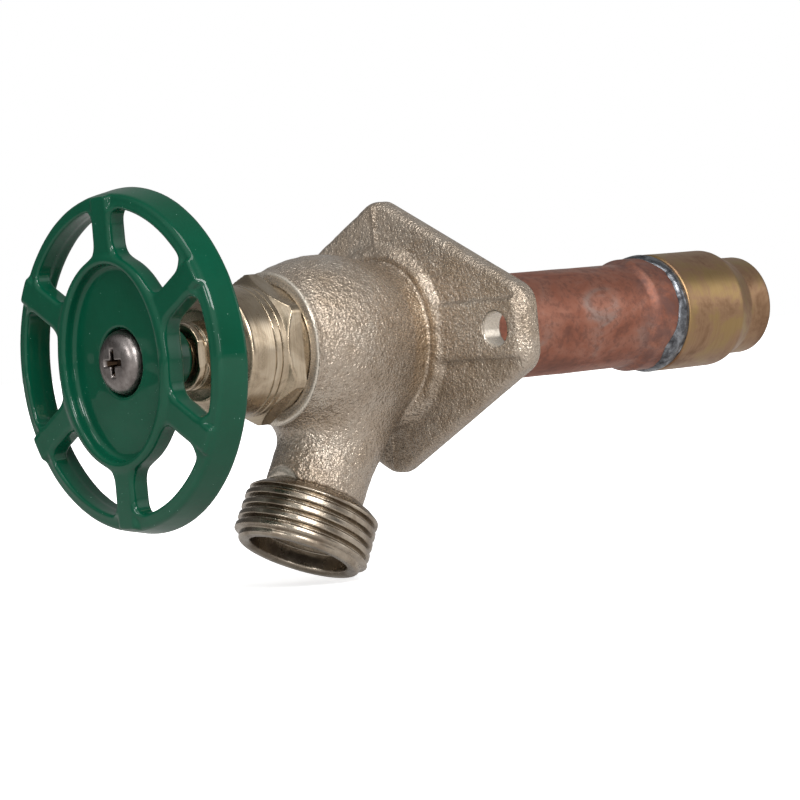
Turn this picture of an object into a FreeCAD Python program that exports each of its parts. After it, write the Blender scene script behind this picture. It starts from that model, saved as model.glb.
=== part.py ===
"""Frost-free hose bib: wheel handle, bonnet, cast body with wall flange, copper tube and inlet fitting.

Millimetres. The origin is on the stem axis at the wall face of the flange. The stem axis runs along Y:
the handle is towards -Y and the inlet towards +Y. +Z is up and +X is to the right.
Every value called *_Y is a station along the stem axis. The valve is drawn closed.
"""
import os
from math import cos, radians, sin, sqrt

import FreeCAD
import Part

# Driving dimensions -------------------------------------------------------------------------------
INLET_END_Y = 101.6          # nominal 4 in. size: wall face to inlet end
TUBE_OUTER_R = 11.1125       # nominal 3/4 in. copper water tube, 7/8 in. outside
TUBE_WALL = 1.0
HOSE_THREAD_R = 13.485       # 3/4-11.5 garden hose thread, crest
HOSE_THREAD_ROOT_R = 12.25
HOSE_THREAD_PITCH = 25.4 / 11.5
INLET_SOCKET_R = 8.0         # solder socket for nominal 1/2 in. tube, 5/8 in. outside
SCREW_SPACING = 68.3         # wall screws, 2-11/16 in. apart
SCREW_HOLE_R = 3.45
HANDLE_R = 33.1
TRAVEL = 6.35                # how far the plunger leaves its seat
FIT = 0.05                   # radial clearance of a turning or sliding fit
JOINT_GAP = 0.02             # gap between parts that are soldered or screwed together

# Stations of the handle and the stem --------------------------------------------------------------
HANDLE_FRONT_Y = -70.8       # front of the rim; the hub and spokes stand slightly proud of it
SCREW_SEAT_Y = HANDLE_FRONT_Y + 3.0
STEM_SHOULDER_Y = -60.4
BOSS_BACK_Y = -56.6
THREAD_FRONT_Y = -34.4
STEM_COLLAR_Y = -25.5        # front of the collar with the O-ring groove
STEM_TAIL_Y = -15.0
ROD_FRONT_Y = -29.0
PIN_Y = -18.5
ROD_STEP_Y = 46.6
CLIP_Y = 51.9
ROD_END_Y = 54.2
PLUNGER_REAR_Y = 60.2

# Stations of the bonnet, body, tube and inlet -----------------------------------------------------
GLAND_HEAD_Y = -55.6
BONNET_FRONT_Y = -51.7
GLAND_SHOULDER_Y = -42.8
HEX_FRONT_Y = -39.2
HEX_BACK_Y = -35.4
BODY_FRONT_Y = -33.6
CHAMBER_FRONT_Y = -24.5
BONNET_TAIL_Y = -22.5
TUBE_FRONT_Y = -8.0
FLANGE_FRONT_Y = -3.6
BELL_START_Y = 63.0
SEAT_LIP_Y = 63.9
SPIGOT_FRONT_Y = 65.1
TUBE_END_Y = 71.6
SHOULDER_Y = 73.0

# Radii that several pieces share ------------------------------------------------------------------
TUBE_INNER_R = TUBE_OUTER_R - TUBE_WALL
BELL_OUTER_R = 12.15
BELL_INNER_R = BELL_OUTER_R - TUBE_WALL + FIT
CHAMBER_R = 11.0
BONNET_R = 12.95
BONNET_THREAD_R = 12.0
BONNET_BORE_R = 5.65
GLAND_R = 6.0
STEM_R = 4.0
STEM_SQUARE = 6.4
STEM_THREAD_R = BONNET_BORE_R - 2 * FIT
ROD_R = 3.15
ROD_TIP_R = 2.5
PIN_R = 0.8
CLIP_THICK = 0.8
CLIP_GROOVE_R = 1.9
SEAT_BORE_R = 5.5
SEAT_WASHER_R = 7.4
HANDLE_SCREW_R = 2.05
WASHER_SCREW_R = 1.9

# Spout --------------------------------------------------------------------------------------------
SPOUT_ROOT_Y = -9.0          # where the spout axis crosses the stem axis
SPOUT_TILT = 28.0            # degrees forward of straight down
SPOUT_LENGTH = 46.8          # along its own axis, from the stem axis to the mouth
SPOUT_NECK_R = 9.95
SPOUT_BORE_R = 6.6
MOUTH_BORE_R = 9.9

Y_AXIS = FreeCAD.Vector(0, 1, 0)
ORIGIN = FreeCAD.Vector(0, 0, 0)


def vec(x, y, z):
    return FreeCAD.Vector(x, y, z)


def cylinder(radius, y0, y1):
    """A solid cylinder on the stem axis."""
    return Part.makeCylinder(radius, y1 - y0, vec(0, y0, 0), Y_AXIS)


def cone(r0, r1, y0, y1):
    return Part.makeCone(r0, r1, y1 - y0, vec(0, y0, 0), Y_AXIS)


def ring(outer, inner, y0, y1):
    return cylinder(outer, y0, y1).cut(cylinder(inner, y0 - 1, y1 + 1))


def torus(centre_r, wire_r, y):
    return Part.makeTorus(centre_r, wire_r, vec(0, y, 0), Y_AXIS)


def box(x0, x1, y0, y1, z0, z1):
    return Part.makeBox(x1 - x0, y1 - y0, z1 - z0, vec(x0, y0, z0))


def turned(profile):
    """Revolve a closed (radius, y) outline about the stem axis."""
    points = [vec(r, y, 0) for r, y in profile]
    face = Part.Face(Part.makePolygon(points + points[:1]))
    return face.revolve(ORIGIN, Y_AXIS, 360)


def hexagon(across_flats, y0, y1):
    """A hexagonal prism on the stem axis with a corner at the top."""
    corner = across_flats / sqrt(3)
    points = [vec(corner * sin(radians(a)), y0, corner * cos(radians(a))) for a in range(0, 361, 60)]
    return Part.Face(Part.makePolygon(points)).extrude(vec(0, y1 - y0, 0))


def fillet_along_y(shape, radius, pick=lambda point: True):
    """Round the straight edges that run along Y and whose middle satisfies pick."""
    edges = []
    for edge in shape.Edges:
        if isinstance(edge.Curve, Part.Line) and abs(edge.tangentAt(edge.FirstParameter).y) > 0.99:
            if pick(edge.CenterOfMass):
                edges.append(edge)
    return shape.makeFillet(radius, edges)


# Handle -------------------------------------------------------------------------------------------
def oval(half_x, half_z, y0, y1):
    """An elliptical prism on the stem axis, taller than it is wide."""
    curve = Part.Ellipse(vec(0, y0, half_z), vec(half_x, y0, 0), vec(0, y0, 0))
    return Part.Face(Part.Wire(curve.toShape())).extrude(vec(0, y1 - y0, 0))


def handle_wheel():
    """Cast wheel: drafted rim, six flat spokes, oval dished hub and a boss that sits on the stem."""
    rim_back = HANDLE_FRONT_Y + 6.0
    rim_inner = 29.3
    spoke_width = 5.6
    spoke_end = HANDLE_R - 1.6
    web_front = HANDLE_FRONT_Y - 0.9
    web_back = HANDLE_FRONT_Y + 3.2
    hub_front = HANDLE_FRONT_Y - 1.2
    hub_back = HANDLE_FRONT_Y + 2.6
    hub_x, hub_z = 17.2, 20.2
    lip_x, lip_z = 2.4, 1.5
    dish_floor = HANDLE_FRONT_Y + 1.3
    counterbore_r = 6.6
    boss_r = 5.7
    rim = turned([(rim_inner, HANDLE_FRONT_Y), (HANDLE_R - 1.7, HANDLE_FRONT_Y),
                  (HANDLE_R - 1.2, HANDLE_FRONT_Y + 0.5), (HANDLE_R, rim_back - 0.5),
                  (HANDLE_R - 0.5, rim_back), (rim_inner, rim_back)])
    windows = cylinder(rim_inner, web_front - 1, web_back + 1)
    windows = windows.cut(oval(hub_x, hub_z, web_front - 2, web_back + 2))
    spokes = []
    for angle in range(0, 180, 60):
        cutter = box(-spoke_width / 2, spoke_width / 2, web_front - 2, web_back + 2, -HANDLE_R, HANDLE_R)
        windows = windows.cut(cutter.rotate(ORIGIN, Y_AXIS, angle))
        spoke = box(-spoke_width / 2, spoke_width / 2, web_front, web_back, -spoke_end, spoke_end)
        spokes.append(spoke.rotate(ORIGIN, Y_AXIS, angle))
    web = cylinder(rim_inner, web_front, web_back)
    for window in windows.Solids:
        web = web.cut(fillet_along_y(window, 3.0))
    web = web.cut(oval(hub_x, hub_z, web_front - 1, web_back + 1))
    hub = oval(hub_x, hub_z, hub_front, hub_back)
    hub = hub.makeChamfer(0.6, [edge for edge in hub.Edges if edge.BoundBox.YMax < hub_front + 0.01])
    boss = cone(boss_r + 2.3, boss_r, hub_back - 0.5, BOSS_BACK_Y)
    wheel = rim.fuse([web, hub, boss] + spokes).removeSplitter()
    wheel = wheel.cut([oval(hub_x - lip_x, hub_z - lip_z, hub_front - 1, dish_floor),
                       cylinder(counterbore_r, hub_front - 1, SCREW_SEAT_Y)])
    half = STEM_SQUARE / 2 + FIT
    socket = box(-half, half, SCREW_SEAT_Y - 1, STEM_SHOULDER_Y, -half, half)
    return wheel.cut([socket, cylinder(STEM_R + FIT, STEM_SHOULDER_Y, BOSS_BACK_Y + 1)])


def cross_recess(front_y, size, depth):
    """The tapered cross that a Phillips driver fits, as a solid to cut away."""
    arm = size / 4
    cross = box(-size, size, front_y - 2, front_y + depth, -arm, arm)
    cross = cross.fuse(box(-arm, arm, front_y - 2, front_y + depth, -size, size))
    return cross.common(cone(size * 1.3, size * 0.35, front_y - 1, front_y + depth))


def handle_screw():
    """Pan head machine screw that holds the handle on the stem."""
    head_r = 6.2
    top = SCREW_SEAT_Y - 3.8
    head = cylinder(head_r, top, SCREW_SEAT_Y)
    head = head.makeFillet(2.2, [edge for edge in head.Edges if edge.BoundBox.YMax < top + 0.01])
    shank = cylinder(HANDLE_SCREW_R, SCREW_SEAT_Y, SCREW_SEAT_Y + 10)
    return head.fuse(shank).cut(cross_recess(top, 2.6, 1.9)).removeSplitter()


# Stem ---------------------------------------------------------------------------------------------
def stem():
    """Turned stem: square for the handle, journal, travel thread, O-ring collar and tail."""
    half = STEM_SQUARE / 2
    collar_end = STEM_COLLAR_Y + 3.7
    square = box(-half, half, SCREW_SEAT_Y + 0.4, STEM_SHOULDER_Y, -half, half)
    body = square.fuse([cylinder(STEM_R, STEM_SHOULDER_Y, THREAD_FRONT_Y),
                        cylinder(STEM_THREAD_R, THREAD_FRONT_Y, collar_end),
                        cylinder(5.0, collar_end, STEM_TAIL_Y)]).removeSplitter()
    groove = ring(9, 4.3, STEM_COLLAR_Y + 0.9, STEM_COLLAR_Y + 2.7)
    screw_hole = cylinder(HANDLE_SCREW_R + FIT, HANDLE_FRONT_Y, SCREW_SEAT_Y + 11)
    rod_hole = cylinder(ROD_R + JOINT_GAP, ROD_FRONT_Y - 0.2, STEM_TAIL_Y + 1)
    return body.cut([groove, screw_hole, rod_hole, cross_pin(PIN_R + JOINT_GAP)])


def cross_pin(radius):
    """A cylinder along Z through the stem's tail and the rod."""
    half_length = 4.8
    return Part.makeCylinder(radius, 2 * half_length, vec(0, PIN_Y, -half_length), vec(0, 0, 1))


def rod_pin():
    """Cross pin that ties the rod to the stem."""
    return cross_pin(PIN_R)


def stem_rod():
    """Long rod from the stem to the plunger, with a clip groove in its tip."""
    rod = cylinder(ROD_R, ROD_FRONT_Y, ROD_STEP_Y).fuse(cylinder(ROD_TIP_R, ROD_STEP_Y, ROD_END_Y))
    groove = ring(6, CLIP_GROOVE_R, CLIP_Y, CLIP_Y + CLIP_THICK)
    return rod.removeSplitter().cut([groove, cross_pin(PIN_R + JOINT_GAP)])


def plunger_clip():
    """E-clip that keeps the plunger on the rod and lets the rod turn in it."""
    clip = ring(3.9, CLIP_GROOVE_R + JOINT_GAP, CLIP_Y + FIT, CLIP_Y + CLIP_THICK - FIT)
    return clip.cut(box(-1.5, 1.5, CLIP_Y - 1, CLIP_Y + 2, 0, 6))


def stem_o_ring():
    return torus(4.95, 0.62, STEM_COLLAR_Y + 1.8)


# Plunger ------------------------------------------------------------------------------------------
def plunger():
    """Washer holder with four guide fins, which the rod pushes and pulls without turning it."""
    front = ROD_STEP_Y + 0.1
    fin_r = TUBE_INNER_R - 0.5
    cup_end = PLUNGER_REAR_Y + 2.0
    core = cylinder(6.2, front, PLUNGER_REAR_Y)
    core = core.fuse(cylinder(SEAT_WASHER_R + 0.9, PLUNGER_REAR_Y - 2.0, cup_end))
    for angle in (45, 135):
        fin = box(-fin_r, fin_r, front + 1.0, PLUNGER_REAR_Y, -0.8, 0.8)
        core = core.fuse(fin.rotate(ORIGIN, Y_AXIS, angle))
    washer_pocket = cylinder(SEAT_WASHER_R + FIT, PLUNGER_REAR_Y, cup_end + 1)
    rod_bore = cylinder(ROD_TIP_R + FIT, front - 1, ROD_END_Y)
    clip_slot = box(-20, 20, CLIP_Y - 0.2, ROD_END_Y + 0.8, -4.2, 4.2)
    screw_hole = cylinder(WASHER_SCREW_R + JOINT_GAP, ROD_END_Y + 1.8, PLUNGER_REAR_Y + 1)
    return core.removeSplitter().cut([washer_pocket, rod_bore, clip_slot, screw_hole])


def seat_washer():
    return ring(SEAT_WASHER_R, WASHER_SCREW_R + FIT, PLUNGER_REAR_Y, SEAT_LIP_Y)


def washer_screw():
    """Screw that holds the seat washer in the plunger."""
    head = cylinder(3.2, SEAT_LIP_Y, SEAT_LIP_Y + 1.8)
    screw = head.fuse(cylinder(WASHER_SCREW_R, ROD_END_Y + 2, SEAT_LIP_Y)).removeSplitter()
    return screw.cut(box(-4, 4, SEAT_LIP_Y + 0.9, SEAT_LIP_Y + 3, -0.45, 0.45))


# Bonnet and gland ---------------------------------------------------------------------------------
def bonnet():
    """Turned bonnet: nose, grooved barrel, hexagon, seating neck, and a tail that screws into the body."""
    barrel_front = BONNET_FRONT_Y + 4.1
    nose_r = 9.0
    neck_r = 12.7
    corner_r = 14.8
    hex_chamfer = 1.6
    outer = turned([(0, BONNET_FRONT_Y), (nose_r, BONNET_FRONT_Y), (BONNET_R, barrel_front),
                    (BONNET_R, HEX_FRONT_Y + 0.5), (0, HEX_FRONT_Y + 0.5)])
    for groove_y in (HEX_FRONT_Y - 3.1, HEX_FRONT_Y - 1.5):
        outer = outer.cut(ring(20, BONNET_R - 0.25, groove_y, groove_y + 0.35))
    trim = cone(BONNET_R, corner_r, HEX_FRONT_Y, HEX_FRONT_Y + hex_chamfer)
    trim = trim.fuse(cylinder(corner_r, HEX_FRONT_Y + hex_chamfer, HEX_BACK_Y))
    hex_flange = hexagon(26.2, HEX_FRONT_Y, HEX_BACK_Y).common(trim)
    neck = cylinder(neck_r, HEX_BACK_Y, BODY_FRONT_Y)
    thread = cylinder(BONNET_THREAD_R, BODY_FRONT_Y, CHAMBER_FRONT_Y - 0.5)
    tail = cylinder(9.4, CHAMBER_FRONT_Y - 0.5, BONNET_TAIL_Y)
    shape = outer.fuse([hex_flange, neck, thread, tail]).removeSplitter()
    seal_groove = ring(14, 10.8, BODY_FRONT_Y, BODY_FRONT_Y + 2.1)
    gland_bore = cylinder(GLAND_R + JOINT_GAP, BONNET_FRONT_Y - 1, GLAND_SHOULDER_Y)
    stem_bore = cylinder(STEM_R + 2 * FIT, GLAND_SHOULDER_Y - 1, THREAD_FRONT_Y)
    thread_bore = cylinder(BONNET_BORE_R, THREAD_FRONT_Y - TRAVEL - 0.3, BONNET_TAIL_Y + 1)
    return shape.cut([seal_groove, gland_bore, stem_bore, thread_bore])


def bonnet_o_ring():
    return torus(11.65, 0.82, BODY_FRONT_Y + 1.05)


def packing_nut():
    """Gland nut: ringed head with two spanner flats, and a threaded sleeve that presses the packing."""
    head = cylinder(6.6, GLAND_HEAD_Y, BONNET_FRONT_Y)
    head = head.cut(ring(9, 6.3, GLAND_HEAD_Y + 1.8, GLAND_HEAD_Y + 2.3))
    head = head.common(box(-6.0, 6.0, GLAND_HEAD_Y, BONNET_FRONT_Y, -9, 9))
    sleeve = cylinder(GLAND_R, BONNET_FRONT_Y, GLAND_SHOULDER_Y - 3.8)
    return head.fuse(sleeve).cut(cylinder(STEM_R + 2 * FIT, -60, -40)).removeSplitter()


def packing_rings():
    """Two stem packing rings under the gland nut."""
    rings = []
    for start in (GLAND_SHOULDER_Y - 3.75, GLAND_SHOULDER_Y - 2.4):
        rings.append(ring(GLAND_R - FIT, STEM_R + FIT, start, start + 1.3))
    return Part.makeCompound(rings)


def packing_washer():
    return ring(GLAND_R - FIT, STEM_R + 2 * FIT, GLAND_SHOULDER_Y - 1.05, GLAND_SHOULDER_Y)


# Body ---------------------------------------------------------------------------------------------
def spout_outline():
    """Spout as (radius, distance from the stem axis), with four thread crests near the mouth."""
    thread_top = SPOUT_LENGTH - 11.2
    points = [(0, 6), (11.4, 6), (10.6, 20), (SPOUT_NECK_R, 27), (SPOUT_NECK_R, thread_top - 1.8),
              (HOSE_THREAD_ROOT_R, thread_top - 0.6)]
    for turn in range(3, -1, -1):
        crest = SPOUT_LENGTH - 2.7 - turn * HOSE_THREAD_PITCH
        points += [(HOSE_THREAD_ROOT_R, crest - 0.95), (HOSE_THREAD_R, crest - 0.3),
                   (HOSE_THREAD_R, crest + 0.3), (HOSE_THREAD_ROOT_R, crest + 0.95)]
    return points + [(HOSE_THREAD_ROOT_R, SPOUT_LENGTH - 0.5), (HOSE_THREAD_ROOT_R - 0.5, SPOUT_LENGTH),
                     (0, SPOUT_LENGTH)]


def along_spout(profile):
    """Revolve (radius, distance) points about the spout axis and set them in place."""
    points = [vec(r, 0, -s) for r, s in profile]
    face = Part.Face(Part.makePolygon(points + points[:1]))
    solid = face.revolve(ORIGIN, vec(0, 0, 1), 360)
    solid.rotate(ORIGIN, vec(1, 0, 0), -SPOUT_TILT)
    solid.translate(vec(0, SPOUT_ROOT_Y, 0))
    return solid


def wall_flange():
    """Diamond flange with blunt ends, a raised band through both screw holes, and rounded edges."""
    apex_z = 29.0
    end_x = 42.0
    end_z = 7.8
    band_z = 5.6
    corners = [(0, apex_z), (end_x, end_z), (end_x, -end_z), (0, -apex_z), (-end_x, -end_z), (-end_x, end_z)]
    points = [vec(x, FLANGE_FRONT_Y, z) for x, z in corners]
    plate = Part.Face(Part.makePolygon(points + points[:1])).extrude(vec(0, -FLANGE_FRONT_Y, 0))
    plate = fillet_along_y(plate, 6.0, lambda point: abs(point.x) < 1)
    plate = fillet_along_y(plate, 5.0, lambda point: abs(point.x) > end_x - 1)
    front_edges = [edge for edge in plate.Edges if edge.BoundBox.YMax < FLANGE_FRONT_Y + 0.01]
    plate = plate.makeFillet(1.2, front_edges)
    band = box(-end_x + 1.2, end_x - 1.2, FLANGE_FRONT_Y - 1.0, -1.5, -band_z, band_z)
    band_edges = [edge for edge in band.Edges if edge.BoundBox.YMax < FLANGE_FRONT_Y - 0.9]
    return plate.fuse(band.makeChamfer(0.8, band_edges))


def globe():
    """Bulging casting between the machined collar and the flange."""
    start = vec(14.9, BODY_FRONT_Y + 1.2, 0)
    middle = vec(17.7, -20.5, 0)
    end = vec(15.3, -8.5, 0)
    rest = [end, vec(15.3, -6.0, 0), vec(17.4, FLANGE_FRONT_Y, 0), vec(17.4, -1, 0), vec(0, -1, 0),
            vec(0, BODY_FRONT_Y, 0), vec(15.15, BODY_FRONT_Y, 0), start]
    edges = [Part.Arc(start, middle, end).toShape()]
    edges += [Part.makeLine(a, b) for a, b in zip(rest, rest[1:])]
    return Part.Face(Part.Wire(edges)).revolve(ORIGIN, Y_AXIS, 360)


def valve_body():
    """One casting: collar, globe, spout with hose thread, and wall flange, bored for tube and bonnet."""
    ledge = SPOUT_LENGTH - 4.0
    over = SPOUT_LENGTH + 0.2
    shape = globe().fuse([wall_flange(), along_spout(spout_outline())]).removeSplitter()
    outlet = along_spout([(0, 0), (SPOUT_BORE_R, 0), (SPOUT_BORE_R, ledge), (MOUTH_BORE_R, ledge),
                          (MOUTH_BORE_R, SPOUT_LENGTH - 0.9), (11.0, over), (0, over)])
    bores = [cylinder(CHAMBER_R, CHAMBER_FRONT_Y - 1, TUBE_FRONT_Y - 0.2),
             cylinder(TUBE_OUTER_R + JOINT_GAP, TUBE_FRONT_Y - 0.2, 2),
             cone(TUBE_OUTER_R, 12.4, -1.2, 0.1),
             cylinder(BONNET_THREAD_R + JOINT_GAP, BODY_FRONT_Y - 1, CHAMBER_FRONT_Y),
             cylinder(12.5, BODY_FRONT_Y - 1, BODY_FRONT_Y + 2.2),
             outlet]
    for side in (-1, 1):
        bores.append(Part.makeCylinder(SCREW_HOLE_R, 20, vec(side * SCREW_SPACING / 2, -10, 0), Y_AXIS))
    for bore in bores:
        shape = shape.cut(bore)
    return shape


# Tube and inlet -----------------------------------------------------------------------------------
def copper_tube():
    """Tube soldered into the body, with its far end belled out to take the inlet fitting."""
    bell_y = BELL_START_Y + 1.6
    return turned([(TUBE_INNER_R, TUBE_FRONT_Y), (TUBE_OUTER_R, TUBE_FRONT_Y), (TUBE_OUTER_R, BELL_START_Y),
                   (BELL_OUTER_R, bell_y), (BELL_OUTER_R, TUBE_END_Y), (BELL_INNER_R, TUBE_END_Y),
                   (BELL_INNER_R, bell_y), (TUBE_INNER_R, BELL_START_Y)])


def body_solder_ring():
    inner = TUBE_OUTER_R + JOINT_GAP
    return turned([(inner, -1.1), (12.25, -JOINT_GAP), (inner, -JOINT_GAP)])


def inlet_solder_ring():
    """Solder between the belled tube end and the shoulder of the inlet fitting."""
    inner = BELL_INNER_R
    over = BELL_OUTER_R + JOINT_GAP
    front = TUBE_END_Y + JOINT_GAP
    back = SHOULDER_Y - JOINT_GAP
    return turned([(inner, front), (over, front), (over, TUBE_END_Y - 1.6), (12.65, TUBE_END_Y - 0.5),
                   (12.85, TUBE_END_Y + 0.6), (12.75, back), (inner, back)])


def inlet_fitting():
    """Brass end: spigot with the valve seat, shoulder, neck and solder socket."""
    spigot_r = BELL_INNER_R - JOINT_GAP
    shoulder_r = 12.76
    neck_r = 10.67
    socket_y = INLET_END_Y - 13.0
    outer = turned([(0, SPIGOT_FRONT_Y), (spigot_r - 0.5, SPIGOT_FRONT_Y), (spigot_r, SPIGOT_FRONT_Y + 0.5),
                    (spigot_r, SHOULDER_Y), (shoulder_r - 0.3, SHOULDER_Y), (shoulder_r, SHOULDER_Y + 0.3),
                    (shoulder_r, 90.0), (neck_r, 95.0), (neck_r, INLET_END_Y - 1.0),
                    (neck_r - 0.9, INLET_END_Y), (0, INLET_END_Y)])
    lip = cylinder(SEAT_BORE_R + 1.4, SEAT_LIP_Y, SPIGOT_FRONT_Y + 0.5)
    shape = outer.fuse(lip).removeSplitter()
    return shape.cut([cylinder(SEAT_BORE_R, SEAT_LIP_Y - 1, 70), cylinder(6.8, 68, socket_y + 1),
                      cylinder(INLET_SOCKET_R, socket_y, INLET_END_Y + 1)])


NODES = [handle_wheel, handle_screw, stem, stem_rod, rod_pin, stem_o_ring, plunger_clip, plunger,
         seat_washer, washer_screw, bonnet, bonnet_o_ring, packing_nut, packing_rings, packing_washer,
         valve_body, copper_tube, body_solder_ring, inlet_solder_ring, inlet_fitting]


def main():
    os.makedirs("parts", exist_ok=True)
    for make in NODES:
        shape = make()
        shape.exportStep(f"parts/{make.__name__}.step")
        print(make.__name__, len(shape.Solids), shape.isValid(), round(shape.Volume, 1))


main()
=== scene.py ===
"""Looks of the hose bib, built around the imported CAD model.

The shape functions work in millimetres in the CAD frame: the stem axis is Y, the handle is towards -Y and
+Z is up. A field is a signed distance: below zero inside the piece.
"""
from math import cos, pi, radians, sin, tan

import bpy
import numpy as np
import openvdb
from mathutils import Matrix, Vector


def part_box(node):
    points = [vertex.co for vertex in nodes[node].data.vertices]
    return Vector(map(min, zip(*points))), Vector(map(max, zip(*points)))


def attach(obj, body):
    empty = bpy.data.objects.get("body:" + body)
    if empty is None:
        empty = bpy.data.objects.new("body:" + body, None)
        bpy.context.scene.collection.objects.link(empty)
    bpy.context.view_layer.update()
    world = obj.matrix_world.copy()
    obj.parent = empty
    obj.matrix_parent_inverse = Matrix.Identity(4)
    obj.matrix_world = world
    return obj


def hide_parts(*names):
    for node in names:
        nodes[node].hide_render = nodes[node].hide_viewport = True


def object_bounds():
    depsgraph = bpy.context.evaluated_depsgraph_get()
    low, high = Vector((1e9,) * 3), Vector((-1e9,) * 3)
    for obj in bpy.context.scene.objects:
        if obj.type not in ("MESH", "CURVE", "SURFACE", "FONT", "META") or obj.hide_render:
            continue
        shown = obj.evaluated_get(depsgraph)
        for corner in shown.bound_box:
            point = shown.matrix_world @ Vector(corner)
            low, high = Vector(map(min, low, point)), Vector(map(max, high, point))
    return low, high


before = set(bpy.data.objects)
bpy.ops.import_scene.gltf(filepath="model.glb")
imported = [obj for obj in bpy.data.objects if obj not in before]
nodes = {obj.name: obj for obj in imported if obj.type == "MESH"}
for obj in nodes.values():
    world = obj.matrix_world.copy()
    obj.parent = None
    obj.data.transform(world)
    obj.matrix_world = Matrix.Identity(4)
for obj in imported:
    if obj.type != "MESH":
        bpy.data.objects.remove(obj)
cad_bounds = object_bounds()
MM = 0.001


def mm_box(node):
    lo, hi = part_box(node)
    return np.array(lo) / MM, np.array(hi) / MM


wheel_lo, wheel_hi = mm_box("handle_wheel")
screw_lo, screw_hi = mm_box("handle_screw")
bonnet_lo, bonnet_hi = mm_box("bonnet")
nut_lo, nut_hi = mm_box("packing_nut")
body_lo, body_hi = mm_box("valve_body")
tube_lo, tube_hi = mm_box("copper_tube")
inlet_lo, inlet_hi = mm_box("inlet_fitting")
solder_lo, solder_hi = mm_box("inlet_solder_ring")

# Stations along the stem axis.
RIM_FRONT_Y = -70.8
SCREW_SEAT_Y = RIM_FRONT_Y + 3.0
STEM_SHOULDER_Y = -60.4      # where the wheel's square hole becomes round
HEX_FRONT_Y = -39.2
HEX_BACK_Y = -35.4
BODY_FRONT_Y = -33.6
GLOBE_Y = -20.5              # widest part of the globe
FLANGE_FRONT_Y = -3.6

# Wheel.
RIM_INNER_R = 29.3
RIM_DEPTH = 6.0
SPOKE_HALF = 2.8             # half the spoke's width
WEB_DEPTH = 3.2              # back of the spokes, behind the rim's front
HUB_OVAL = (17.2, 20.2)      # half width, half height
DISH_OVAL = (14.8, 18.7)
COUNTERBORE_R = 6.6
STEM_SQUARE_HALF = 3.25
STEM_ROUND_R = 4.05

# Flange.
SCREW_HOLE_X = 34.15
SCREW_HOLE_R = 3.45
SLOPE_NORMAL = (0.4506, 0.8927)
BAND_HALF = 5.8

# Spout, measured along its own axis from the stem axis.
SPOUT_ROOT_Y = -9.0
SPOUT_TILT = radians(28.0)
SPOUT_LENGTH = 46.8
NECK_END = 34.1              # where the cast neck meets the threaded end
SPOUT_BORE_R = 6.6
THREAD_PITCH = 25.4 / 11.5
THREAD_ROOT_R = 12.25
THREAD_CREST_R = 13.485


# Noise and signed distances -----------------------------------------------------------------------
def lattice(ix, iy, iz, seed):
    """A repeatable random number in -1..1 for each whole-number point."""
    h = (ix * 73856093) ^ (iy * 19349663) ^ (iz * 83492791) ^ (seed * 668265263)
    h = ((h ^ (h >> 13)) * 1274126177) & 0xFFFFFFFF
    h = ((h ^ (h >> 16)) * 2246822519) & 0xFFFFFFFF
    return ((h >> 8) & 0xFFFF) / 32767.5 - 1.0


def noise(points, size, seed=0):
    """Smooth value noise in -1..1 with features about size mm across, for an (n, 3) array."""
    scaled = points / size
    cell = np.floor(scaled).astype(np.int64)
    f = scaled - cell
    f = f * f * (3 - 2 * f)
    total = np.zeros(len(points))
    for corner in range(8):
        step = np.array([corner & 1, corner >> 1 & 1, corner >> 2])
        weight = np.prod(np.where(step, f, 1 - f), axis=1)
        total += weight * lattice(*(cell + step).T, seed)
    return total


def smin(a, b, k):
    """Union of two fields with a fillet of about k mm."""
    h = np.clip(0.5 + 0.5 * (b - a) / k, 0, 1)
    return b + (a - b) * h - k * h * (1 - h)


def smax(a, b, k):
    return -smin(-a, -b, k)


def smoothstep(x, a, b):
    t = np.clip((x - a) / (b - a), 0, 1)
    return t * t * (3 - 2 * t)


# Mesh builders ------------------------------------------------------------------------------------
def add_mesh(name, points, faces, body, slot, replaced):
    """Makes a smooth-shaded piece from mm points and faces and ties it to the CAD frame."""
    mesh = bpy.data.meshes.new(name)
    mesh.from_pydata((points * MM).tolist(), [], faces.tolist())
    mesh.validate()
    mesh.shade_smooth()
    obj = bpy.data.objects.new(name, mesh)
    bpy.context.scene.collection.objects.link(obj)
    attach(obj, body)
    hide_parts(*replaced)
    return obj


def field_gradient(field, points, delta):
    x, y, z = points.T
    return np.stack([field(x + delta, y, z) - field(x - delta, y, z),
                     field(x, y + delta, z) - field(x, y - delta, z),
                     field(x, y, z + delta) - field(x, y, z - delta)], axis=1) / (2 * delta)


def field_surface(field, lo, hi, voxel, relief=None):
    """Quads on the zero surface of a field. relief(points) is how far the surface is then raised."""
    lo = np.array(lo, float)
    counts = np.ceil((np.array(hi) - lo) / voxel).astype(int) + 1
    x, y, z = (lo[i] + voxel * np.arange(counts[i]) for i in range(3))
    values = field(x[:, None, None], y[None, :, None], z[None, None, :])
    band = 3 * voxel
    grid = openvdb.FloatGrid(band)
    grid.copyFromArray(np.clip(values, -band, band).astype(np.float32))
    points, quads = grid.convertToQuads(isovalue=0.0)
    points = lo + points.astype(float) * voxel
    for _ in range(4):
        gradient = field_gradient(field, points, 0.02)
        length2 = np.maximum((gradient ** 2).sum(axis=1), 0.25)
        shift = field(*points.T) / length2
        points -= np.clip(shift, -voxel, voxel)[:, None] * gradient
    if relief is not None:
        gradient = field_gradient(field, points, 0.05)
        gradient /= np.linalg.norm(gradient, axis=1)[:, None] + 1e-9
        points += relief(points)[:, None] * gradient
    a, b, c, d = (points[quads[:, i]] for i in range(4))
    volume = (np.cross(b, c) * a).sum() + (np.cross(c, d) * a).sum()
    return points, quads if volume > 0 else quads[:, ::-1]


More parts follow.
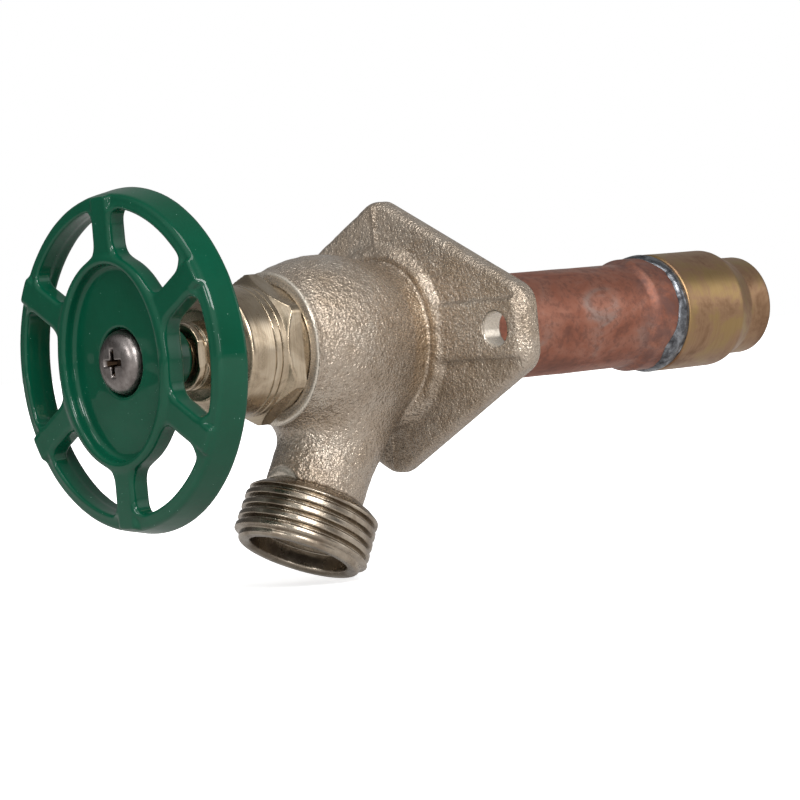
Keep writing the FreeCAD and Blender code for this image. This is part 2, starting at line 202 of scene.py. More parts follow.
def rounded_outline(corners, step):
    """A closed outline from (radius, station, fillet) corners, with arcs at the corners and short edges."""
    count = len(corners)
    flat = [np.array(c[:2], float) for c in corners]
    points = []
    for i in range(count):
        here, before, after = flat[i], flat[i - 1], flat[(i + 1) % count]
        fillet = corners[i][2]
        u, v = before - here, after - here
        len_u, len_v = np.linalg.norm(u), np.linalg.norm(v)
        u, v = u / len_u, v / len_v
        half = np.arccos(np.clip(u @ v, -1, 1)) / 2
        if fillet <= 0 or half > 1.5:
            points.append(here)
            continue
        reach = min(fillet / tan(half), 0.49 * len_u, 0.49 * len_v)
        radius = reach * tan(half)
        centre = here + (u + v) / np.linalg.norm(u + v) * (radius / sin(half))
        start, end = here + u * reach - centre, here + v * reach - centre
        turn = np.arctan2(start[0] * end[1] - start[1] * end[0], start @ end)
        arcs = max(3, int(abs(turn) / radians(18)))
        for k in range(arcs + 1):
            c, s = cos(turn * k / arcs), sin(turn * k / arcs)
            points.append(centre + np.array([c * start[0] - s * start[1], s * start[0] + c * start[1]]))
    closed = []
    for i, p in enumerate(points):
        q = points[(i + 1) % len(points)]
        parts = max(1, int(np.ceil(np.linalg.norm(q - p) / step)))
        closed += [p + (q - p) * k / parts for k in range(parts)]
    return np.array(closed)


def ring_faces(around, along):
    """Quads of a grid that closes on itself both ways."""
    i, j = np.meshgrid(np.arange(around), np.arange(along), indexing="ij")
    i2, j2 = (i + 1) % around, (j + 1) % along
    return np.stack([i * along + j, i * along + j2, i2 * along + j2, i2 * along + j], axis=-1).reshape(-1, 4)


def outward(points, faces):
    a, b, c, d = (points[faces[:, i]] for i in range(4))
    volume = (np.cross(b, c) * a).sum() + (np.cross(c, d) * a).sum()
    return faces if volume > 0 else faces[:, ::-1]


def lathe(outline, segments, limit=None):
    """Turns a closed (radius, station) outline about Y. limit(angle) caps the radius, for flats."""
    angle = np.arange(segments)[:, None] * 2 * pi / segments
    radius = np.repeat(outline[None, :, 0], segments, axis=0)
    if limit is not None:
        radius = limit(angle, radius, outline[None, :, 1])
    points = np.stack([radius * np.sin(angle), np.repeat(outline[None, :, 1], segments, axis=0),
                       radius * np.cos(angle)], axis=-1).reshape(-1, 3)
    return points, outward(points, ring_faces(segments, len(outline)))


def along_spout(x, y, z):
    """Distance along the spout axis, and across it to the front and to the side."""
    dy = y - SPOUT_ROOT_Y
    along = -sin(SPOUT_TILT) * dy - cos(SPOUT_TILT) * z
    front = -cos(SPOUT_TILT) * dy + sin(SPOUT_TILT) * z
    return along, front, x


def from_spout(points):
    """Moves points that were made about Y, with station = distance along the spout, onto the spout axis."""
    side, along, up = points.T
    y = SPOUT_ROOT_Y - sin(SPOUT_TILT) * along - cos(SPOUT_TILT) * up
    z = -cos(SPOUT_TILT) * along + sin(SPOUT_TILT) * up
    return np.stack([side, y, z], axis=1)


# Handle wheel -------------------------------------------------------------------------------------
def fold_to_spoke(x, z):
    """Radius, and the angle from the nearest of the six spokes."""
    angle = np.arctan2(x, z)
    sector = pi / 3
    return np.hypot(x, z), (angle + sector / 2) % sector - sector / 2


def oval_field(x, z, half_x, half_z):
    """Distance to an ellipse about the stem axis, good near its outline."""
    level = np.sqrt((x / half_x) ** 2 + (z / half_z) ** 2)
    slope = np.sqrt((x / half_x ** 2) ** 2 + (z / half_z ** 2) ** 2)
    return level * (level - 1) / np.maximum(slope, 1e-3)


def wheel_field(x, y, z):
    rim_r = wheel_hi[0]
    depth = y - RIM_FRONT_Y
    radius, angle = fold_to_spoke(x, z)
    across = np.abs(radius * np.sin(angle))
    rim_outer = rim_r - 1.25 + 1.2 * np.clip((depth - 0.2) / 5.4, 0, 1)
    rim = smax(radius - rim_outer, RIM_INNER_R - radius, 0.4)
    rim = smax(smax(rim, -depth, 0.9), depth - RIM_DEPTH, 0.9)
    oval = oval_field(x, z, *HUB_OVAL)
    spoke = smax(smax(across - SPOKE_HALF, -0.9 - depth, 0.9), depth - WEB_DEPTH, 0.8)
    spoke = smax(spoke, radius - rim_outer + 0.3, 0.7)
    window = smax(smax(radius - RIM_INNER_R, -oval, 3.0), SPOKE_HALF - across, 3.4)
    proud = 0.9 * (1 - smoothstep(radius, 28.4, 30.4))    # the web steps down to the rim's front
    web = smax(smax(np.maximum(-window, radius - 30.6), -proud - depth, 0.9), depth - WEB_DEPTH, 0.8)
    hub = smax(smax(oval, -1.2 - depth, 1.0), depth - 2.6, 0.7)
    shape = smin(smin(rim, np.minimum(spoke, web), 0.5), hub, 0.8)
    dish = smax(oval_field(x, z, *DISH_OVAL), depth - 1.3, 1.1)
    shape = smax(shape, -dish, 0.7)
    boss_end = wheel_hi[1] - RIM_FRONT_Y
    boss = smax(radius - 8.0 + 2.3 * smoothstep(depth, 0.0, boss_end), depth - boss_end, 0.9)
    boss = np.maximum(boss, 2.0 - depth)
    shape = smin(shape, boss, 0.6)
    counterbore = smax(radius - COUNTERBORE_R, depth - 3.0, 0.3)
    shape = smax(shape, -counterbore, 0.4)
    square = np.maximum(np.maximum(np.abs(x), np.abs(z)) - STEM_SQUARE_HALF, y - STEM_SHOULDER_Y)
    round_hole = np.maximum(radius - STEM_ROUND_R, STEM_SHOULDER_Y - y)
    return np.maximum(shape, -np.minimum(square, round_hole))


def wheel_relief(points):
    return 0.035 * noise(points, 7.0, 3) + 0.012 * noise(points, 2.4, 4)


# Handle screw -------------------------------------------------------------------------------------
def screw_field(x, y, z):
    """Pan head with a cross recess."""
    head_r, top = screw_hi[0], screw_lo[1]
    radius = np.hypot(x, z)
    depth = y - top
    crown = 0.35 * (radius / head_r) ** 2
    head = smax(smax(radius - head_r, crown - depth, 3.0), y - SCREW_SEAT_Y, 0.3)
    shank = np.maximum(np.maximum(radius - 2.05, y - screw_hi[1]), SCREW_SEAT_Y - 1 - y)
    arm = 0.62 - 0.12 * depth
    arms = np.minimum(np.abs(x), np.abs(z)) - arm
    core = np.abs(x) + np.abs(z) - 1.35 + 0.3 * depth
    cross = smax(smin(arms, core, 0.35), radius - 2.9 + 1.0 * depth, 0.25)
    cross = np.maximum(cross, depth - 1.9)
    return smax(np.minimum(head, shank), -cross, 0.22)


# Valve body ---------------------------------------------------------------------------------------
def globe_field(y, radius):
    """Bulging casting between the collar and the flange, with the waist beside the flange."""
    off = y - GLOBE_Y
    profile = 17.7 - np.where(off < 0, 2.8 * (off / 11.9) ** 2, 2.4 * (off / 12.0) ** 2)
    barrel = smax((radius - profile) * 0.97, np.abs(off) - 12.2, 0.8)
    collar = smax(radius - 15.15, np.abs(y + 30.5) - 3.1, 0.4)
    waist = np.maximum(radius - 15.3, np.abs(y + 6.0) - 5.5)
    return np.minimum(smin(barrel, collar, 0.5), smin(barrel, waist, 0.7))


def from_screw_hole(x, z):
    """Distance from the axis of the nearer wall screw hole."""
    return np.hypot(np.abs(x) - SCREW_HOLE_X, z)


def flange_field(x, y, z):
    """Diamond plate with a raised band across it and a low ridge down the middle."""
    high = np.abs(z)
    nx, nz = SLOPE_NORMAL
    apex_distance = body_hi[2] * nz
    sloped = smax(x * nx + high * nz - apex_distance, -x * nx + high * nz - apex_distance, 2.6)
    outline = smax(sloped, np.abs(x) - body_hi[0], 3.1)
    plate = smax(smax(outline, FLANGE_FRONT_Y - y, 1.7), y, 0.5)
    band = smax(smax(high - BAND_HALF, FLANGE_FRONT_Y - 1.0 - y, 0.9), np.abs(x) - body_hi[0] + 1.2, 2.0)
    band = np.maximum(band, y + 1.5)
    shape = smin(plate, band, 0.5)
    ridge = np.maximum(smax(np.abs(x) - 0.3, FLANGE_FRONT_Y - 0.3 - y, 0.6), high - body_hi[2] + 1.6)
    return smin(shape, np.maximum(ridge, 16.0 - high), 0.7)


def spout_radius(along):
    return np.interp(along, [0, 6, 20, 27, 46], [11.6, 11.4, 10.6, 9.95, 9.95])


def body_field(x, y, z):
    radius = np.hypot(x, z)
    shape = globe_field(y, radius)
    bead = np.sqrt((radius - 16.9) ** 2 + (y - FLANGE_FRONT_Y) ** 2) - 1.6
    flange = smin(flange_field(x, y, z), bead, 1.1)
    shape = smin(shape, flange, 0.7)
    along, front, side = along_spout(x, y, z)
    across = np.hypot(front, side)
    neck = np.hypot(front - 0.6 * smoothstep(along, 12, 30), side)
    spout = np.maximum(neck - spout_radius(along), np.maximum(along - NECK_END, -along))
    shape = smin(shape, spout, 5.0)
    shape = np.maximum(shape, along - NECK_END)
    shape = np.maximum(shape, BODY_FRONT_Y - y)
    shape = np.maximum(shape, y)
    bores = [np.maximum(radius - 11.0, y + 8.0), np.maximum(radius - 11.13, -8.2 - y),
             np.maximum(radius - 12.02, y + 24.5), np.maximum(radius - 12.5, y + 31.4),
             np.maximum(across - SPOUT_BORE_R, 1.0 - along),
             from_screw_hole(x, z) - SCREW_HOLE_R, radius - 11.13 - np.maximum(y + 1.2, 0)]
    for bore in bores:
        shape = smax(shape, -bore, 0.15)
    return shape


def body_relief(points):
    """Sand-cast lumps, left off the machined faces."""
    x, y, z = points.T
    radius = np.hypot(x, z)
    along, front, side = along_spout(x, y, z)
    cast = smoothstep(y, BODY_FRONT_Y + 0.4, BODY_FRONT_Y + 1.6) * (1 - smoothstep(y, -0.8, -0.2))
    on_spout = smoothstep(along, 14, 18) * (y > -33) * (np.hypot(front, side) > 8)
    cast *= smoothstep(radius, 13.4, 14.2) + on_spout
    cast = np.clip(cast, 0, 1) * smoothstep(from_screw_hole(x, z), 3.5, 4.2)
    bead = np.exp(-((radius - 17.3) / 1.2) ** 2) * smoothstep(y, -6.0, -4.6)
    coarse = 0.12 * noise(points, 5.0, 11) + 0.08 * noise(points, 1.9, 12)
    fine = 0.05 * noise(points, 1.0, 13)
    return cast * (coarse + fine + bead * 0.42 * noise(points, 2.0, 14))


# Threaded spout end -------------------------------------------------------------------------------
def thread_end():
    """Machined end of the spout: shoulder, hose thread as one helix, mouth face and stepped bore."""
    root_r = THREAD_ROOT_R
    shoulder = SPOUT_LENGTH - 11.8
    ledge = SPOUT_LENGTH - 4.0
    bore_r = 9.9
    outline = rounded_outline([(9.4, NECK_END - 0.5, 0), (9.75, NECK_END - 0.3, 0.1), (10.1, NECK_END, 0.1),
                               (root_r - 0.1, shoulder + 0.1, 0.5), (root_r, shoulder + 0.6, 0.3),
                               (12.5, SPOUT_LENGTH, 0.8), (bore_r, SPOUT_LENGTH, 0.9),
                               (bore_r, ledge, 0.25), (SPOUT_BORE_R, ledge, 0.4),
                               (SPOUT_BORE_R, NECK_END - 0.5, 0)], 0.13)
    segments = 320

    def helix(angle, radius, station):
        phase = ((SPOUT_LENGTH - 2.3 - station) / THREAD_PITCH + angle / (2 * pi)) % 1.0
        away = np.abs(phase - 0.5) * 2
        crest = smoothstep(away, 0.12, 0.62)
        crest = 1.0 - (1.0 - crest) ** 1.3
        fade = smoothstep(station, shoulder - 0.1, shoulder + 1.4) * (1 - smoothstep(station, 45.0, 45.7))
        outside = smoothstep(radius, root_r - 0.7, root_r - 0.1)
        return radius + (THREAD_CREST_R - root_r) * crest * fade * outside

    points, faces = lathe(outline, segments, helix)
    return from_spout(points), faces


# Turned pieces ------------------------------------------------------------------------------------
def hex_limit(angle, radius, station):
    """Caps the hexagon of the bonnet at its flats."""
    folded = (angle + pi / 6) % (pi / 3) - pi / 6
    flats = 13.1 / np.cos(pi / 6 - np.abs(folded))
    on_hex = (station > HEX_FRONT_Y - 0.01) & (station < HEX_BACK_Y + 0.01)
    return np.where(on_hex, np.minimum(radius, flats), radius)


def bonnet_mesh():
    front = bonnet_lo[1]
    barrel_r, tail_y = 12.95, bonnet_hi[1]
    corners = [(6.02, front, 0.3), (9.0, front, 0.7), (barrel_r, front + 4.1, 0.9)]
    for groove in (HEX_FRONT_Y - 3.1, HEX_FRONT_Y - 1.5):
        corners += [(barrel_r, groove, 0.05), (barrel_r - 0.28, groove + 0.12, 0.03),
                    (barrel_r - 0.28, groove + 0.25, 0.03), (barrel_r, groove + 0.4, 0.05)]
    corners += [(barrel_r, HEX_FRONT_Y, 0.05), (14.8, HEX_FRONT_Y + 1.6, 0.2), (14.8, HEX_BACK_Y, 0.15),
                (12.7, HEX_BACK_Y, 0.2), (12.7, BODY_FRONT_Y, 0.05),
                (12.0, BODY_FRONT_Y, 0), (10.8, BODY_FRONT_Y, 0.1), (10.8, BODY_FRONT_Y + 2.1, 0.1),
                (12.0, BODY_FRONT_Y + 2.1, 0.1), (12.0, -25.0, 0.4), (9.4, -25.0, 0.1), (9.4, tail_y, 0.3),
                (5.65, tail_y, 0.2), (5.65, -41.05, 0.05), (4.1, -41.05, 0.05), (4.1, -42.8, 0.05),
                (6.02, -42.8, 0.05)]
    return lathe(rounded_outline(corners, 0.4), 288, hex_limit)


def nut_mesh():
    head_end = bonnet_lo[1] - 0.02

    def flats(angle, radius, station):
        flat = 6.0 / np.maximum(np.abs(np.sin(angle)), 0.05)
        return np.where(station < head_end - 0.01, np.minimum(radius, flat), radius)

    front = nut_lo[1]
    corners = [(4.1, front, 0.25), (6.6, front, 0.45), (6.6, front + 1.3, 0.12), (6.25, front + 1.6, 0.1),
               (6.25, front + 2.1, 0.1), (6.6, front + 2.4, 0.12), (6.6, head_end, 0.1),
               (6.0, head_end, 0.05), (6.0, nut_hi[1], 0.2), (4.1, nut_hi[1], 0.2)]
    return lathe(rounded_outline(corners, 0.3), 192, flats)


def swell(points, wave):
    """Moves points away from the stem axis by wave mm."""
    scale = 1 + wave / np.hypot(points[:, 0], points[:, 2])
    points[:, 0] *= scale
    points[:, 2] *= scale
    return points


def tube_mesh():
    outer, inner = 11.1125, 10.1125
    bell_r, bell_y, end = tube_hi[0], 63.0, tube_hi[1]
    corners = [(inner, tube_lo[1], 0.2), (outer, tube_lo[1], 0.3), (outer, bell_y - 0.3, 2.0),
               (bell_r, bell_y + 2.0, 1.6), (bell_r, end, 0.3), (bell_r - 0.95, end, 0.1),
               (bell_r - 0.95, bell_y + 1.9, 1.0), (inner, bell_y + 0.2, 1.0)]
    points, faces = lathe(rounded_outline(corners, 0.7), 224)
    wave = 0.07 * noise(points, 16.0, 21) + 0.03 * noise(points, 5.0, 22)
    wave *= smoothstep(points[:, 1], 1.0, 4.0) * (1 - smoothstep(points[:, 1], 66.0, 70.0))
    return swell(points, wave), faces


def solder_mesh():
    """Ragged solder collar: its front edge runs up the bell in places and it is thicker in lumps."""
    segments, along = 320, 30
    angle = np.arange(segments) * 2 * pi / segments
    circle = np.stack([np.sin(angle), np.zeros(segments), np.cos(angle)], axis=1)
    low, high = radians(128), radians(18)
    spread = 2.6 * np.exp(-(((angle - low + pi) % (2 * pi) - pi) / 0.42) ** 2)
    spread += 1.1 * np.exp(-(((angle - high + pi) % (2 * pi) - pi) / 0.6) ** 2)
    spread += 0.55 * noise(circle * 12, 4.0, 31) + 0.3 * noise(circle * 12, 1.7, 32)
    front = solder_lo[1] + 0.5 - np.maximum(spread, -0.5)
    back = solder_hi[1]
    t = np.linspace(0, 1, along)
    station = front[:, None] + (back - front[:, None]) * t[None, :]
    inner = tube_hi[0] - 0.12
    bulge = 0.95 * np.sqrt(np.clip(np.sin(pi * np.clip(t, 0, 1) ** 0.8), 0, 1))
    bulge = np.where(t > 0.72, np.maximum(bulge, 0.62), bulge)
    grid = np.stack([np.repeat(np.sin(angle)[:, None], along, 1) * 12, station,
                     np.repeat(np.cos(angle)[:, None], along, 1) * 12], axis=-1)
    lumps = 1 + 0.35 * noise(grid.reshape(-1, 3), 2.6, 33).reshape(segments, along)
    outer = tube_hi[0] + 0.02 + 0.72 * bulge * lumps * np.sin(pi * np.clip(t, 0.0, 0.93)) ** 0.35
    radius = np.concatenate([outer, np.full((segments, along), inner)], axis=1)
    station = np.concatenate([station, station[:, ::-1]], axis=1)
    points = np.stack([radius * np.sin(angle)[:, None], station, radius * np.cos(angle)[:, None]], axis=-1)
    points = points.reshape(-1, 3)
    return points, outward(points, ring_faces(segments, 2 * along))


def inlet_mesh():
    end = inlet_hi[1]
    shoulder_r, neck_r, shoulder_y = inlet_hi[0], 10.67, 73.0
    spigot_r = tube_hi[0] - 0.97
    socket_y = end - 13.0
    corners = [(5.5, inlet_lo[1], 0.1), (6.9, inlet_lo[1], 0.2), (6.9, 65.1, 0.1),
               (spigot_r - 0.5, 65.1, 0.2), (spigot_r, 65.6, 0.2), (spigot_r, shoulder_y, 0.05),
               (shoulder_r, shoulder_y, 0.55),
               (shoulder_r, 90.0, 3.0), (neck_r, 95.0, 2.6), (neck_r, end, 1.1), (8.0, end, 0.6),
               (8.0, socket_y, 0.1), (6.8, socket_y, 0.2), (6.8, 70.0, 0.2), (5.5, 69.0, 0.2)]
    points, faces = lathe(rounded_outline(corners, 0.6), 224)
    radius = np.hypot(points[:, 0], points[:, 2])
    wave = 0.05 * noise(points, 9.0, 41)
    wave *= smoothstep(radius, 10.0, 10.6)
    wave *= smoothstep(points[:, 1], 74.0, 76.0)
    return swell(points, wave), faces


# Materials ----------------------------------------------------------------------------------------
class Shader:
    """A Principled material whose textures use the piece's own coordinates in millimetres."""

    def __init__(self, name, **sockets):
        self.material = bpy.data.materials.new(name)
        self.material.use_nodes = True
        self.tree = self.material.node_tree
        self.bsdf = self.tree.nodes["Principled BSDF"]
        for socket, value in sockets.items():
            self.bsdf.inputs[socket.replace("_", " ")].default_value = value
        place = self.tree.nodes.new("ShaderNodeTexCoord")
        self.place = self.add("ShaderNodeVectorMath", [(0, place.outputs["Object"]), (1, (1000.0,) * 3)],
                              operation="MULTIPLY").outputs[0]

    def add(self, kind, inputs=(), **settings):
        node = self.tree.nodes.new(kind)
        for key, value in settings.items():
            setattr(node, key, value)
        for key, value in inputs:
            if isinstance(value, bpy.types.NodeSocket):
                self.tree.links.new(value, node.inputs[key])
            else:
                node.inputs[key].default_value = value
        return node

    def link(self, value, socket):
        self.tree.links.new(value, self.bsdf.inputs[socket])

    def stretched(self, factors):
        node = self.add("ShaderNodeVectorMath", [(0, self.place), (1, factors)], operation="MULTIPLY")
        return node.outputs[0]

    def noise(self, size, detail=4.0, rough=0.55, place=None, distort=0.0):
        """Noise in 0..1 with features about size mm across."""
        node = self.add("ShaderNodeTexNoise", [("Vector", place or self.place), ("Scale", 1.0 / size),
                                               ("Detail", detail), ("Roughness", rough),
                                               ("Distortion", distort)])
        return node.outputs["Fac"]

    def ramp(self, value, stops):
        """Colour ramp: stops are (position, colour or grey)."""
        node = self.add("ShaderNodeValToRGB", [("Fac", value)])
        elements = node.color_ramp.elements
        while len(elements) < len(stops):
            elements.new(0.5)
        for element, (position, colour) in zip(elements, stops):
            element.position = position
            if not hasattr(colour, "__len__"):
                colour = (colour,) * 3
            element.color = (*colour, 1.0)
        return node.outputs["Color"]

    def mix(self, factor, a, b):
        inputs = [(0, factor)]
        for index, value in ((6, a), (7, b)):
            if not isinstance(value, bpy.types.NodeSocket):
                value = (*value, 1.0) if hasattr(value, "__len__") else (value,) * 3 + (1.0,)
            inputs.append((index, value))
        return self.add("ShaderNodeMix", inputs, data_type="RGBA").outputs[2]

    def math(self, operation, a, b=0.0):
        return self.add("ShaderNodeMath", [(0, a), (1, b)], operation=operation).outputs[0]

    def length(self, vector):
        return self.add("ShaderNodeVectorMath", [(0, vector)], operation="LENGTH").outputs["Value"]

    def span(self, value, low, high, to_low=0.0, to_high=1.0):
        node = self.add("ShaderNodeMapRange", [(0, value), (1, low), (2, high), (3, to_low), (4, to_high)],
                        interpolation_type="SMOOTHSTEP")
        return node.outputs[0]

    def axis(self, index):
        return self.add("ShaderNodeSeparateXYZ", [(0, self.place)]).outputs[index]

    def bump(self, layers):
        """Stacks (height in 0..1, depth in mm) layers into the normal."""
        normal = None
        for height, depth in layers:
            inputs = [("Height", height), ("Strength", 1.0), ("Distance", depth * MM)]
            if normal is not None:
                inputs.append(("Normal", normal))
            normal = self.add("ShaderNodeBump", inputs).outputs[0]
        self.link(normal, "Normal")
        return self.material


def green_enamel():
    s = Shader("green_enamel", Roughness=0.4, Coat_Weight=0.5, Coat_Roughness=0.03, Specular_IOR_Level=0.05)
    tone = s.ramp(s.noise(9.0), [(0.3, (0.0003, 0.045, 0.022)), (0.7, (0.0006, 0.055, 0.028))])
    speck = s.ramp(s.noise(0.45, 1.0), [(0.79, 0.0), (0.81, 1.0)])
    s.link(s.mix(speck, tone, (0.16, 0.3, 0.24)), "Base Color")
    return s.bump([(s.noise(3.2, 2.0), 0.06), (s.noise(0.5, 2.0), 0.003)])


def stainless():
    s = Shader("stainless", Metallic=1.0)
    s.link(s.ramp(s.noise(1.6), [(0.3, (0.20, 0.175, 0.17)), (0.7, (0.38, 0.345, 0.34))]), "Base Color")
    scratches = s.noise(0.25, 3.0, place=s.stretched((1.0, 1.0, 0.12)))
    s.link(s.ramp(scratches, [(0.3, 0.2), (0.7, 0.36)]), "Roughness")
    return s.bump([(scratches, 0.006), (s.noise(0.8), 0.012)])


def screw_steel():
    """Stainless, with painted shade that darkens the cross recess."""
    s = Shader("screw_steel", Metallic=1.0)
    tone = s.ramp(s.noise(1.6), [(0.3, (0.14, 0.122, 0.115)), (0.7, (0.27, 0.245, 0.235))])
    # Painted shade: near the axis and below the crown, the cross recess is darkened in the base colour.
    near_axis = s.span(s.length(s.stretched((1.0, 0.0, 1.0))), 3.1, 2.7)
    below_crown = s.span(s.axis(1), SCREW_SEAT_Y - 3.6, SCREW_SEAT_Y - 3.1)
    recess = s.math("MULTIPLY", near_axis, below_crown)
    s.link(s.mix(recess, tone, (0.035, 0.022, 0.014)), "Base Color")
    scratches = s.noise(0.25, 3.0, place=s.stretched((1.0, 1.0, 0.12)))
    s.link(s.ramp(scratches, [(0.3, 0.24), (0.7, 0.4)]), "Roughness")
    return s.bump([(scratches, 0.006), (s.noise(0.8), 0.012)])


def turned_rings(s, size):
    """Fine tool rings about the stem axis."""
    return s.noise(size, 3.0, 0.7, place=s.stretched((0.02, 1.0, 0.02)))


def turned_brass():
    s = Shader("turned_brass", Metallic=1.0, Anisotropic=0.45)
    stain = s.noise(5.0, 5.0, 0.6, distort=0.8)
    tone = s.ramp(stain, [(0.28, (0.20, 0.15, 0.10)), (0.5, (0.42, 0.335, 0.235)),
                          (0.72, (0.56, 0.475, 0.36))])
    rings = turned_rings(s, 0.22)
    ring_tone = s.ramp(rings, [(0.3, (0.25, 0.19, 0.12)), (0.7, (0.58, 0.5, 0.39))])
    s.link(s.mix(0.35, tone, ring_tone), "Base Color")
    s.link(s.ramp(stain, [(0.3, 0.32), (0.7, 0.16)]), "Roughness")
    tangent = s.add("ShaderNodeTangent", direction_type="RADIAL", axis="Y")
    s.link(tangent.outputs[0], "Tangent")
    return s.bump([(rings, 0.006), (s.noise(1.4), 0.006)])


def cast_body():
    s = Shader("cast_body", Metallic=0.7)
    patch = s.noise(9.0, 5.0, 0.62)
    tone = s.ramp(patch, [(0.3, (0.31, 0.245, 0.18)), (0.5, (0.38, 0.315, 0.25)), (0.72, (0.42, 0.37, 0.31))])
    grain = s.noise(0.55, 2.0, 0.5)
    lumps = s.noise(1.1, 3.0, 0.6)
    pits = s.ramp(lumps, [(0.36, 0.4), (0.48, 0.0)])
    tone = s.mix(pits, tone, (0.20, 0.15, 0.11))
    side, station, height = (s.axis(index) for index in range(3))
    waist = s.math("MULTIPLY", s.span(station, -9.6, -8.0), s.span(station, -4.6, -5.6))
    waist = s.math("MULTIPLY", waist, s.span(side, 9.0, 14.0))
    tone = s.mix(s.math("MULTIPLY", waist, 0.35), tone, (0.40, 0.27, 0.14))
    off_axis = s.math("SUBTRACT", s.math("ABSOLUTE", side), SCREW_HOLE_X)
    squares = s.math("ADD", s.math("POWER", off_axis, 2.0), s.math("POWER", height, 2.0))
    from_hole = s.math("POWER", squares, 0.5)
    cast = s.math("MULTIPLY", s.span(station, -33.4, -33.0), s.span(from_hole, 3.4, 3.8))
    tone = s.mix(cast, (0.60, 0.54, 0.46), tone)
    s.link(tone, "Base Color")
    s.link(s.ramp(grain, [(0.35, 0.34), (0.65, 0.13)]), "Roughness")
    return s.bump([(s.math("MULTIPLY", lumps, cast), 0.26), (s.math("MULTIPLY", grain, cast), 0.26)])


def machined_body():
    s = Shader("machined_body", Metallic=1.0)
    patch = s.noise(4.0, 4.0, 0.6)
    tone = s.ramp(patch, [(0.3, (0.23, 0.185, 0.14)), (0.55, (0.36, 0.31, 0.25)), (0.75, (0.45, 0.40, 0.33))])
    s.link(tone, "Base Color")
    s.link(s.ramp(patch, [(0.3, 0.34), (0.7, 0.2)]), "Roughness")
    return s.bump([(s.noise(0.5, 3.0), 0.02), (s.noise(1.6, 3.0), 0.04)])


def copper():
    s = Shader("copper", Metallic=0.9)
    blotch = s.noise(9.0, 6.0, 0.6, distort=0.7, place=s.stretched((1.0, 0.6, 1.0)))
    tone = s.ramp(blotch, [(0.30, (0.15, 0.065, 0.047)), (0.45, (0.29, 0.115, 0.075)),
                           (0.57, (0.34, 0.155, 0.108)), (0.68, (0.29, 0.20, 0.17))])
    fine = s.noise(1.6, 5.0, 0.7)
    tone = s.mix(s.ramp(fine, [(0.38, 0.55), (0.52, 0.0)]), tone, (0.15, 0.07, 0.055))
    station = s.axis(1)
    smudge = s.ramp(s.noise(3.0, 5.0, 0.7), [(0.4, 0.0), (0.6, 1.0)])
    heat = s.math("MULTIPLY", s.span(station, 57.0, 64.0), smudge)
    tone = s.mix(s.math("MULTIPLY", heat, 0.65), tone, (0.16, 0.09, 0.08))
    s.link(tone, "Base Color")
    s.link(s.ramp(blotch, [(0.3, 0.62), (0.7, 0.42)]), "Roughness")
    return s.bump([(fine, 0.02), (s.noise(0.35, 2.0), 0.006)])


def solder():
    s = Shader("solder", Metallic=1.0)
    spot = s.noise(1.7, 5.0, 0.6)
    tone = s.ramp(spot, [(0.34, (0.05, 0.05, 0.055)), (0.52, (0.15, 0.157, 0.17)),
                         (0.7, (0.32, 0.335, 0.36))])
    s.link(tone, "Base Color")
    s.link(s.ramp(spot, [(0.3, 0.5), (0.7, 0.22)]), "Roughness")
    return s.bump([(s.noise(1.2, 3.0), 0.1), (s.noise(0.4, 2.0), 0.02)])


def dull_brass():
    s = Shader("dull_brass", Metallic=0.95)
    blotch = s.noise(8.0, 6.0, 0.6, distort=0.5)
    tone = s.ramp(blotch, [(0.34, (0.19, 0.10, 0.055)), (0.48, (0.30, 0.18, 0.105)),
                           (0.6, (0.32, 0.215, 0.09))])
    rings = turned_rings(s, 0.3)
    tone = s.mix(0.2, tone, s.ramp(rings, [(0.3, (0.19, 0.11, 0.055)), (0.7, (0.42, 0.29, 0.16))]))
    s.link(tone, "Base Color")
    s.link(s.ramp(blotch, [(0.3, 0.5), (0.7, 0.33)]), "Roughness")
    return s.bump([(rings, 0.008), (s.noise(0.9, 4.0), 0.015)])


def black_rubber():
    s = Shader("black_rubber")
    s.link(s.ramp(s.noise(1.2), [(0.3, (0.010, 0.010, 0.010)), (0.7, (0.03, 0.03, 0.03))]), "Base Color")
    s.link(s.ramp(s.noise(0.6), [(0.3, 0.65), (0.7, 0.45)]), "Roughness")
    return s.bump([(s.noise(0.4), 0.02)])


def packing():
    s = Shader("packing", Roughness=0.8)
    weave = s.noise(0.5, 3.0, 0.7, place=s.stretched((1.0, 3.0, 1.0)))
    s.link(s.ramp(weave, [(0.3, (0.05, 0.05, 0.05)), (0.7, (0.22, 0.21, 0.19))]), "Base Color")
    return s.bump([(weave, 0.08)])


MATERIALS = {make.__name__: make() for make in (green_enamel, stainless, screw_steel, turned_brass, cast_body,
                                                machined_body, copper, solder, dull_brass, black_rubber,
                                                packing)}


def finish_piece(obj, material):
    obj.data.materials.clear()
    obj.data.materials.append(MATERIALS[material])
    return obj


